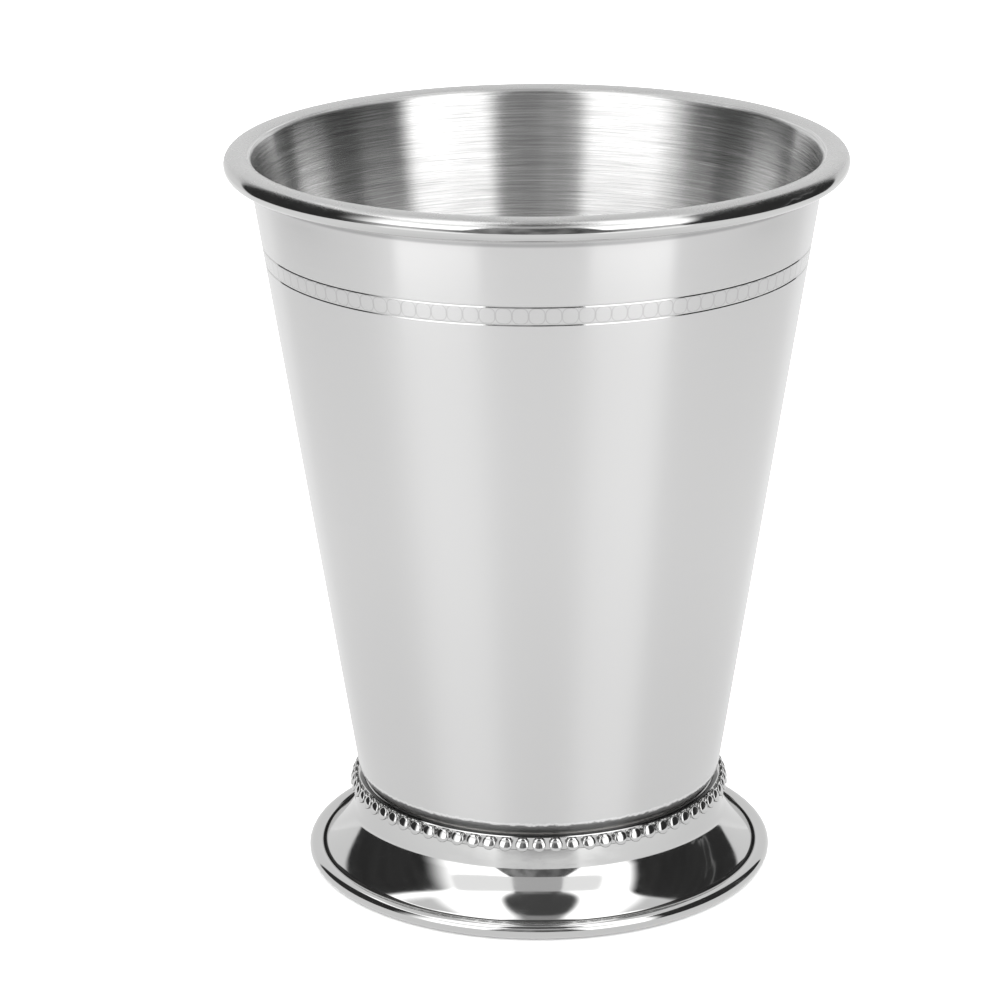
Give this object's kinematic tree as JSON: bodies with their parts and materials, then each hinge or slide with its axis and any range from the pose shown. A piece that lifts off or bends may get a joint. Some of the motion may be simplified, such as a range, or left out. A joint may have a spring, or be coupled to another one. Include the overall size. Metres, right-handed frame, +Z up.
{
  "type": "julep cup",
  "caption": "Footed metal drinking cup: a tapered body with a hollow rolled rim, brazed to a flared foot with a curled edge, the joint covered by a beaded ring.",
  "frame": {"origin": "centre of the circle that the foot stands on, on the cup's axis", "axes": "+Z up along the cup's axis, from the foot to the rim; the cup is the same all round, so X and Y are free"},
  "size_m": [0.0936, 0.0936, 0.1133],
  "materials": {
    "satin_steel": "satin outside with a stamped band, brushed inside, polished at the rolled rim",
    "polished_steel": "mirror polished",
    "braze": "dull, as it flowed"
  },
  "bodies": {
    "root": {"cup_body": "satin_steel", "foot": "polished_steel", "bead_ring": "polished_steel", "braze_seam": "braze"}
  },
  "joints": []
}
